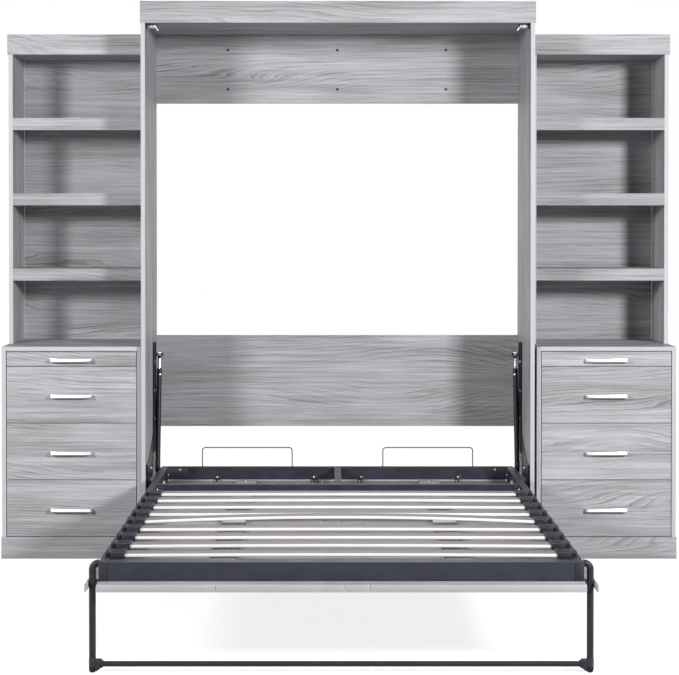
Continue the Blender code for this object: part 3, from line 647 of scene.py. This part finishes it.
def cross_bar_bracket(side, sign):
    """A plate on the rail with a tongue that carries the cross bar, so a T in plan, and its two bolts."""
    rail, face, tongue = (sign * (ANGLE_FACE - inset) for inset in (0, CROSS_PLATE, 0.024))
    outline = [(rail, CROSS_BAR - 0.052), (rail, CROSS_BAR + 0.052), (face, CROSS_BAR + 0.052),
               (face, CROSS_BAR + 0.0165), (tongue, CROSS_BAR + 0.0165), (tongue, CROSS_BAR + 0.0135),
               (face, CROSS_BAR + 0.0135), (face, CROSS_BAR - 0.052)]
    plate = Shape().prism(outline, HEIGHT, (CROSS_BAR_BOTTOM + 0.0005, RAIL_TOP - 0.0055), 0.0004)
    plate.piece(f"cross_bar_bracket_{side}", "bed", "navy_steel", navy)
    bolts = Shape()
    for depth in (CROSS_BAR - 0.040, CROSS_BAR + 0.040):
        bolts.hex_bolt((face, depth, CROSS_BAR_BOTTOM + 0.010), (-sign, 0, 0), 0.0045, 0.003)
    bolts.piece(f"cross_bar_bolts_{side}", "bed", "silver_metal", zinc)


def panel_bracket(index, across):
    """A small angle that holds the panel to the head bar, with one screw in the bar and two in the panel."""
    back, face, nose = HEAD_END + CLEAR, HEAD_END + CLEAR + HOOK_PLATE, HEAD_END + 0.026
    under, over, top = PANEL_TOP + CLEAR, PANEL_TOP + CLEAR + HOOK_PLATE, HEAD_BOTTOM + 0.020
    outline = [(back, top), (face, top), (face, over), (nose, over), (nose, under), (back, under)]
    hook = Shape().prism(outline, ACROSS, (across - 0.013, across + 0.013), 0.0005)
    hook.piece(f"panel_bracket_{index + 1}", "bed", "navy_steel", black)
    screws = Shape()
    screws.screw((across, face, HEAD_BOTTOM + 0.010), (0, 1, 0), 0.0046, 0.003)
    for aside in (-0.007, 0.007):
        screws.screw((across + aside, HEAD_END + 0.016, over), (0, 0, 1), 0.0038, 0.0026)
    screws.piece(f"panel_bracket_screws_{index + 1}", "bed", "silver_metal", zinc)


def frame_fixings():
    for side, sign in SIDES.items():
        head_corner(side, sign)
        foot_corner(side, sign)
        rail_end_cap(side, sign)
        cross_bar_bracket(side, sign)
    for index, across in enumerate(PANEL_BRACKETS):
        panel_bracket(index, across)


# ---------------------------------------------------------------- fold mechanism
PIVOT = (0.417, 0.288)  # (depth, height), like the pins below
STUD = (0.085, 0.760)
STRUT_PIN = (0.175, 0.284)
PLATE_BOTTOM, PLATE_TOP = span("mechanism_plate_right")[HEIGHT]
PLATE_FRONT = span("mechanism_plate_right")[DEPTH][1]
PLATE_FACE = span("mechanism_plate_right")[ACROSS][1] - 0.0025
PLATE_STRIP = (0.105, 0.175)
PLATE_SCREWS = ((0.140, 0.735), (0.140, 0.506), (0.140, 0.345), (0.140, 0.620), (0.215, 0.245),
                (0.300, 0.330), (0.264, 0.323), (0.360, 0.245), (0.415, 0.340))
LIP = 0.0022
LEVER_FACE = RAIL_OUTSIDE + 0.005
LEVER_BOLTS = ((0.255, 0.295), (0.330, 0.303), (0.490, 0.303), (0.535, 0.280))
STRUT_ACROSS = (PLATE_FACE + LEVER_FACE) / 2
STRUT_LENGTH = math.hypot(STRUT_PIN[0] - STUD[0], STUD[1] - STRUT_PIN[1])
STRUT_WAY = Vector((0, (STRUT_PIN[0] - STUD[0]) / STRUT_LENGTH, (STRUT_PIN[1] - STUD[1]) / STRUT_LENGTH))
STRUT_EYE = 0.014  # from the lower pin to the cylinder's end
STRUT_TUBE = 0.410
TUBE_TOP = STRUT_LENGTH - STRUT_EYE - STRUT_TUBE


def on_strut(sign, along):
    return Vector((sign * STRUT_ACROSS, *STUD)) + STRUT_WAY * along


def plate_details(side, sign):
    """Lips and pin bosses on a mechanism plate, the screws that hold it, and the clip on its strut stud."""
    face = sign * (PLATE_FACE - CLEAR)
    lip_edge = sign * (PLATE_FACE - 0.0048)
    lips = Shape()
    for depth in (PLATE_STRIP[0] + CLOSE, PLATE_STRIP[1] - LIP - 0.0004):
        lips.block((face, lip_edge), (depth, depth + LIP), (PLATE_BOTTOM + 0.150, PLATE_TOP - 0.003), 0.0006)
    lips.block((face, lip_edge), (PLATE_STRIP[0] + 0.003, PLATE_STRIP[1] - 0.003),
               (PLATE_TOP - 0.0035, PLATE_TOP - 0.0013), 0.0006)
    lips.block((face, sign * (PLATE_FACE - 0.0060)), (PLATE_FRONT - 0.0025, PLATE_FRONT - 0.0005),
               (PLATE_BOTTOM + 0.002, PLATE_BOTTOM + 0.138), 0.0006)
    lips.disc((face, *PIVOT), (-sign, 0, 0), 0.017, 0.0030, 0.015, 0.0040, 32)
    lips.disc((face, *STUD), (-sign, 0, 0), 0.011, 0.0022, 0.0095, 0.003)
    lips.piece(f"plate_flanges_{side}", "cabinet", "black_steel", black)

    screws = Shape()
    for place in PLATE_SCREWS:
        screws.screw((face, *place), (-sign, 0, 0), 0.0058, 0.0034)
    screws.piece(f"plate_screws_{side}", "cabinet", "silver_metal", zinc)

    clip = Shape()
    clip.turned([(0, 0), (0.0092, 0), (0.0092, 0.0012), (0.0075, 0.0022), (0.0045, 0.0040), (0, 0.0040)],
                (sign * (STRUT_ACROSS - 0.0102), *STUD), (-sign, 0, 0), 20)
    clip.piece(f"strut_stud_clip_{side}", "cabinet", "black_steel", black)


def lever_bolts(side, sign):
    bolts = Shape()
    for place in LEVER_BOLTS:
        bolts.hex_bolt((sign * (LEVER_FACE + CLOSE), *place), (sign, 0, 0), 0.0055, 0.0042)
    bolts.hex_bolt((sign * (RAIL_INSIDE - CLOSE), *PIVOT), (-sign, 0, 0), 0.0085, 0.0068)
    bolts.piece(f"lever_bolts_{side}", "bed", "silver_metal", zinc)


def strut_details(side, sign):
    """A gas strut's shank at the rod's eye, a wiper and a foot band on the cylinder, and its valve."""
    shank = Shape().turned([(0.0043, 0.008), (0.0072, 0.008), (0.0072, 0.014), (0.0060, 0.017),
                            (0.0043, 0.017), (0.0043, 0.008)], on_strut(sign, 0), STRUT_WAY, 20)
    shank.piece(f"strut_eye_shank_{side}", f"strut_rod_{side}", "black_steel", black)
    caps = Shape()
    caps.turned([(0.0047, -0.0045), (0.0085, -0.0045), (0.0104, -0.0020), (0.0107, 0.0005), (0.0107, 0.0110),
                 (0.0101, 0.0120), (0.0047, 0.0008), (0.0047, -0.0045)], on_strut(sign, TUBE_TOP), STRUT_WAY)
    caps.turned([(0.0102, 0.374), (0.0106, 0.3745), (0.0106, 0.3945), (0.0102, 0.395), (0.0102, 0.374)],
                on_strut(sign, TUBE_TOP), STRUT_WAY)
    caps.piece(f"strut_caps_{side}", f"strut_tube_{side}", "black_plastic", plastic)
    valve = Shape()
    valve.turned([(0, 0), (0.0042, 0), (0.0042, 0.0015), (0.0032, 0.0032), (0, 0.0040)],
                 on_strut(sign, TUBE_TOP + 0.020) + Vector((-sign * 0.0035, 0.0085, 0)),
                 (-sign * 0.35, 1, 0.15), 16)
    valve.piece(f"strut_valve_{side}", f"strut_tube_{side}", "silver_metal", silver)


def mechanism():
    for side, sign in SIDES.items():
        plate_details(side, sign)
        lever_bolts(side, sign)
        strut_details(side, sign)


# ---------------------------------------------------------------- catches
def catch(side, sign):
    """A bright catch housing on a black base, with the release lever hanging from its inner end."""
    across, (back, front), (_, top) = span(f"catch_{side}")
    outer = max(abs(place) for place in across)
    base = Shape()
    base.block((sign * outer, sign * (outer - 0.040)), (back, front), (top - 0.004, top), 0.0008)
    base.block((sign * outer, sign * (outer - 0.006)), (back + 0.002, front - 0.001),
               (top - 0.016, top - 0.003), 0.0008)
    base.piece(f"catch_base_{side}", "cabinet", "black_plastic", plastic, replaces=(f"catch_{side}",))

    face = front - 0.0008
    outline = [(back + 0.004, top - 0.0036), (back + 0.004, top - 0.013), (back + 0.008, top - 0.0158),
               (front - 0.004, top - 0.0158), (face, top - 0.0130), (face, top - 0.0036)]
    case = Shape().prism(outline, ACROSS, sorted((sign * (outer - 0.0065), sign * (outer - 0.037))), 0.0012)
    case.piece(f"catch_case_{side}", "cabinet", "silver_metal", silver)
    screws = Shape()
    for inset in (0.015, 0.028):
        screws.screw((sign * (outer - inset), face, top - 0.0084), (0, 1, 0), 0.0024, 0.0012)
    screws.piece(f"catch_screws_{side}", "cabinet", "black_steel", black)

    start = Vector((sign * (outer - 0.036), front - 0.010, top - 0.009))
    tip = Vector((sign * (outer - 0.046), front - 0.008, top - 0.0245))
    lever = Shape().sweep([start, start.lerp(tip, 0.5) + Vector((-sign * 0.001, 0, 0)), tip], 0.0019, 12)
    lever.turned([(0, -0.003), (0.0022, -0.0026), (0.0030, 0), (0.0022, 0.0026), (0, 0.003)], tip,
                 start - tip, 12)
    lever.piece(f"catch_lever_{side}", "cabinet", "silver_metal", silver)


def catches():
    for side, sign in SIDES.items():
        catch(side, sign)


# ---------------------------------------------------------------- folding leg
LEG_ACROSS, LEG_DEPTH, (_, LEG_TOP) = span("leg_frame")
LEG_OUT = LEG_ACROSS[1] - LEG_RADIUS  # a tube's centre line
LEG_INNER = LEG_OUT - LEG_RADIUS
LEG_LINE = sum(LEG_DEPTH) / 2
LEG_BEND = 0.0185
LEG_BEND_STEPS = 10
PIVOT_LINE = LEG_TOP - LEG_RADIUS
FOOT_RAIL = 0.025
FOOT_RAIL_RADIUS = 0.008


def leg_foot(side, sign):
    """The shoe that joins a tube to the foot rail, its screw, and the cap under the tube."""
    shoe = Shape()
    outline = [(0.001, 0.0138), (-0.0160, 0.0138), (-0.0168, 0.0095), (-0.0215, 0.0090), (-0.0215, -0.0090),
               (-0.0165, -0.0098), (-0.0040, -0.0190), (0.001, -0.0205)]
    shoe.prism([(sign * (LEG_INNER + out), FOOT_RAIL + up) for out, up in outline], DEPTH,
               (LEG_LINE - 0.0100, LEG_LINE + 0.0100), 0.0018, 3)
    shoe.turned([(0.0098, 0.018), (0.0106, 0.018), (0.0109, 0.020), (0.0109, 0.040), (0.0104, 0.0415),
                 (0.0098, 0.0415), (0.0098, 0.018)], (sign * LEG_OUT, LEG_LINE, 0), (0, 0, 1))
    shoe.piece(f"leg_shoe_{side}", "leg", "black_plastic", plastic)
    screw = Shape().screw((sign * (LEG_INNER - 0.0125), LEG_LINE + 0.0100, FOOT_RAIL), (0, 1, 0),
                          0.0042, 0.0030)
    screw.piece(f"leg_shoe_screw_{side}", "leg", "black_steel", black)
    cap = Shape().turned([(0, 0.0004), (0.0052, 0.0006), (0.0082, 0.0026), (0.0100, 0.0070), (0.0106, 0.0120),
                          (0.0106, 0.0172), (0.0100, 0.0178), (0, 0.0178)],
                         (sign * LEG_OUT, LEG_LINE, 0), (0, 0, 1))
    cap.piece(f"leg_foot_cap_{side}", "leg", "black_plastic", rubber)


def leg_pivot(side, sign):
    """The bush between a tube and its rail, and the nut inside the rail."""
    bush = Shape().turned([(0.0030, 0.0002), (0.0125, 0.0002), (0.0125, 0.0006), (0.0030, 0.0006),
                           (0.0030, 0.0002)], (sign * RAIL_OUTSIDE, LEG_LINE, PIVOT_LINE), (sign, 0, 0))
    bush.piece(f"leg_bush_{side}", "bed", "black_plastic", plastic)
    nut = Shape().hex_bolt((sign * (RAIL_INSIDE - CLOSE), LEG_LINE, PIVOT_LINE - 0.0115), (-sign, 0, 0),
                           0.0060, 0.0045)
    nut.piece(f"leg_pivot_nut_{side}", "bed", "silver_metal", zinc)


def leg():
    """The bent tubes, the foot rail in its shoes, and the pivots on the bed's rails."""
    tubes = Shape()
    for sign in SIDES.values():
        path = [(sign * (RAIL_OUTSIDE + 0.0008), LEG_LINE, PIVOT_LINE)]
        for step in range(LEG_BEND_STEPS + 1):
            turn = math.radians(90 - 90 / LEG_BEND_STEPS * step)
            path.append((sign * (LEG_OUT - LEG_BEND + LEG_BEND * math.cos(turn)), LEG_LINE,
                         PIVOT_LINE - LEG_BEND + LEG_BEND * math.sin(turn)))
        path.append((sign * LEG_OUT, LEG_LINE, 0.012))
        tubes.sweep(path, LEG_RADIUS, 24)
    tubes.piece("leg_tubes", "leg", "black_steel", black, 60, replaces=("leg_frame",))
    end = LEG_INNER - 0.004
    rail = Shape().sweep([(across, LEG_LINE, FOOT_RAIL) for across in (-end, 0, end)], FOOT_RAIL_RADIUS, 24)
    rail.piece("leg_foot_rail", "leg", "black_steel", black, 60)
    for side, sign in SIDES.items():
        leg_foot(side, sign)
        leg_pivot(side, sign)


# ---------------------------------------------------------------- units
BOARD = 0.016
BACK_SCREWS_ACROSS = (-0.447, 0.0, 0.444)
BACK_SCREWS_HEIGHT = (2.000, 1.840)
RUNNER_SHEET = 0.0012
RUNNER_LIP = 0.005
RUNNER_SCREWS = (0.10, 0.24, 0.385)
SHELF_FIXINGS = (0.070, 0.215)
BACK_FIXINGS = 9


def back_screws():
    dark = Shape()
    face = span("upper_back_panel")[DEPTH][1] + 0.0001
    for across in BACK_SCREWS_ACROSS:
        for height in BACK_SCREWS_HEIGHT:
            dark.turned([(0, 0), (0.0052, 0), (0.0052, 0.0008), (0.0042, 0.0016), (0.0026, 0.0016),
                         (0.0022, 0.0007), (0, 0.0007)], (across, face, height), (0, 1, 0), 20)
    dark.piece("upper_back_screws", "cabinet", "black_steel", black)


def handle(name):
    """A bar bent back at both ends to the front of a tray or a drawer."""
    across, (face, out), height = span(f"{name}_handle")
    mid, level = sum(across) / 2, sum(height) / 2
    half = (across[1] - across[0]) / 2
    flat, foot, thick = half - 0.010, 0.0075, 0.006
    bend, deep = flat + 0.0014, out - 0.0006
    outline = [(mid - half, face), (mid - bend, deep), (mid - flat, out), (mid + flat, out),
               (mid + bend, deep), (mid + half, face), (mid + half - foot, face),
               (mid + flat - foot, out - thick), (mid - flat + foot, out - thick), (mid - half + foot, face)]
    bar = Shape().prism(outline, HEIGHT, (level - 0.0058, level + 0.0058), 0.0006)
    bar.piece(f"{name}_bar_handle", name, "silver_metal", bright, replaces=(f"{name}_handle",))


def channel(shape, face, way, depth, mid, tall, thick):
    """A C-shaped runner section standing off a face, way being the direction it stands in."""
    edge, sheet = face + way * thick, way * RUNNER_SHEET
    low, high = mid - tall / 2, mid + tall / 2
    outline = [(face, low), (edge, low), (edge, low + RUNNER_LIP), (edge - sheet, low + RUNNER_LIP),
               (edge - sheet, low + RUNNER_SHEET), (face + sheet, low + RUNNER_SHEET),
               (face + sheet, high - RUNNER_SHEET), (edge - sheet, high - RUNNER_SHEET),
               (edge - sheet, high - RUNNER_LIP), (edge, high - RUNNER_LIP), (edge, high), (face, high)]
    shape.prism(outline, DEPTH, depth)


def runners(name, side, sign):
    """Two-part metal slides: one half on the carcass, the other on the box of a tray or a drawer."""
    _, (back, front), (bottom, _) = span(name)
    tall, mid = (0.026, bottom + 0.026) if name.startswith("tray") else (0.040, bottom + 0.057)
    start, stop = back + 0.006, front - 0.020
    fixed, moving = Shape(), Shape()
    for face, way in inside_faces(f"base_side_inner_{side}", f"base_side_outer_{side}", sign):
        channel(fixed, face + way * CLOSE, way, (start, stop), mid, tall, 0.0060)
        channel(moving, face + way * 0.0123, -way, (start + 0.004, stop - 0.002), mid, tall - 0.0032, 0.0056)
        for depth in RUNNER_SCREWS:
            fixed.screw((face + way * 0.0015, depth, mid), (way, 0, 0), 0.0036, 0.0022)
    fixed.piece(f"{name}_runner_fixed", "cabinet", "silver_metal", zinc)
    moving.piece(f"{name}_runner_moving", name, "silver_metal", zinc)


def shelf_covers(side, sign):
    """Round covers under the shelves' ends, over the fittings that hold them."""
    covers = Shape()
    for index in (1, 2, 3):
        under = span(f"hutch_shelf_{index}_{side}")[HEIGHT][1] - BOARD - CLEAR
        for face, way in inside_faces(f"hutch_side_inner_{side}", f"hutch_side_outer_{side}", sign):
            for depth in SHELF_FIXINGS:
                covers.disc((face + way * 0.020, depth, under), (0, 0, -1),
                            0.0085, 0.0008, 0.0072, 0.0016, 20)
    covers.piece(f"shelf_cam_covers_{side}", "cabinet", "silver_metal", zinc)


def back_fixings(side):
    """Small nails up both edges of a unit's back."""
    nails = Shape()
    across, (behind, _), (bottom, top) = span(f"unit_back_{side}")
    low, rise = bottom + 0.03, top - bottom - 0.06
    for i in range(BACK_FIXINGS):
        height = low + rise * i / (BACK_FIXINGS - 1)
        for place in (across[0] + 0.010, across[1] - 0.010):
            nails.turned([(0, 0), (0.0036, 0), (0.0032, 0.0010), (0, 0.0014)],
                         (place, behind - 0.0001, height), (0, -1, 0), 12)
    nails.piece(f"back_fixings_{side}", "cabinet", "silver_metal", zinc)


def units():
    for side, sign in SIDES.items():
        for name in (f"tray_{side}", f"drawer_1_{side}", f"drawer_2_{side}", f"drawer_3_{side}"):
            handle(name)
            runners(name, side, sign)
        shelf_covers(side, sign)
        back_fixings(side)


# ---------------------------------------------------------------- room
# each lamp's (across, depth, height), the side of its square, and its watts
LAMPS = {
    "box_right": ((3.30, 4.90, 2.44), 0.72, 247.0),
    "box_left": ((-3.75, 4.20, 2.40), 0.9, 168.0),
    "box_behind": ((0.0, -3.00, 4.00), 2.4, 85.0),
}
LAMP_AIM = (0.0, 0.5, 1.0)
FLOOR_RADIUS = 60.0
POOL = (1.9, 4.2)  # over these distances the lit floor fades to white
CAMERA_PLACE = (-0.040, 7.110, 1.314)
CAMERA_LENS = 91.882  # millimetres, on a sensor 36 wide
CAMERA_SHIFT = (0.0177, -0.1385)
CAMERA_PITCH = 0.0147  # radians, downwards


def in_scene(place):
    """A place given as (across, depth, height), in the scene's own axes."""
    across, depth, height = place
    return CENTRE + across, WALL - depth, height


def floor_material():
    """Pale near the bed, white further out, and dull in the light that it throws on other things."""
    graph = Graph("pale_floor")
    spot = graph.add("TexCoord").outputs["Object"]
    away = graph.add("VectorMath", {0: graph.vector("MULTIPLY", spot, (1, 1, 0))}, operation="LENGTH")
    dust = graph.noise(spot, (3.0, 3.0, 3.0))
    graph.finish(graph.mix(graph.ramp(dust, 0.3, 0.7), (0.42, 0.42, 0.42), (0.45, 0.45, 0.45)), 0.7, 0.1)
    glow = graph.add("Emission", {"Color": (1, 1, 1), "Strength": 1.0})
    lit = graph.add("Emission", {"Color": (1, 1, 1), "Strength": 0.82})
    near = graph.add("AddShader", {0: graph.shader.outputs[0], 1: lit.outputs[0]})
    fade = graph.ramp(away.outputs["Value"], *POOL, kind="SMOOTHSTEP")
    seen = graph.add("MixShader", {0: fade, 1: near.outputs[0], 2: glow.outputs[0]})
    dull = graph.add("BsdfDiffuse", {"Color": (0.25, 0.25, 0.25)})
    bounce = graph.add("LightPath").outputs["Is Diffuse Ray"]
    both = graph.add("MixShader", {0: bounce, 1: seen.outputs[0], 2: dull.outputs[0]})
    graph.set(graph.tree.nodes["Material Output"].inputs[0], both.outputs[0])
    return graph.material


def floor():
    mesh = bpy.data.meshes.new("floor")
    shell = bmesh.new()
    bmesh.ops.create_circle(shell, cap_ends=True, segments=96, radius=FLOOR_RADIUS)
    bmesh.ops.translate(shell, verts=shell.verts, vec=(0, 0, -0.0005))
    shell.to_mesh(mesh)
    shell.free()
    mesh.materials.append(floor_material())
    made = bpy.data.objects.new("floor", mesh)
    scene.collection.objects.link(made)


def lamps():
    """A soft box on each side of the camera, and one high up behind the wall."""
    for name, (place, size, watts) in LAMPS.items():
        lamp = bpy.data.lights.new(name, "AREA")
        lamp.shape, lamp.size, lamp.energy = "SQUARE", size, watts
        made = bpy.data.objects.new(name, lamp)
        made.location = in_scene(place)
        aim = Vector(in_scene(LAMP_AIM)) - made.location
        made.rotation_euler = aim.to_track_quat("-Z", "Y").to_euler()
        made.visible_camera = False
        scene.collection.objects.link(made)


def white_room():
    """A white world that is seen directly and in glossy surfaces, and gives no diffuse light."""
    world = bpy.data.worlds.new("studio")
    scene.world = world
    world.use_nodes = True
    tree = world.node_tree
    path = tree.nodes.new("ShaderNodeLightPath")
    reach = tree.nodes.new("ShaderNodeMapRange")
    reach.inputs["To Min"].default_value, reach.inputs["To Max"].default_value = 1.0, 0.0
    tree.links.new(path.outputs["Is Diffuse Ray"], reach.inputs["Value"])
    tree.links.new(reach.outputs[0], tree.nodes["Background"].inputs["Strength"])
    tree.nodes["Background"].inputs["Color"].default_value = (1, 1, 1, 1)
    scene.view_settings.view_transform = "Standard"


def camera():
    lens = bpy.data.cameras.new("camera")
    lens.sensor_width, lens.lens = 36.0, CAMERA_LENS
    lens.shift_x, lens.shift_y = CAMERA_SHIFT
    made = bpy.data.objects.new("camera", lens)
    made.location = in_scene(CAMERA_PLACE)
    made.rotation_euler = (math.pi / 2 - CAMERA_PITCH, 0, 0)
    scene.collection.objects.link(made)
    scene.camera = made


camera()
floor()
lamps()
white_room()
slats()
front_boards()
frame_fixings()
mechanism()
catches()
leg()
back_screws()
units()
dress_frame()
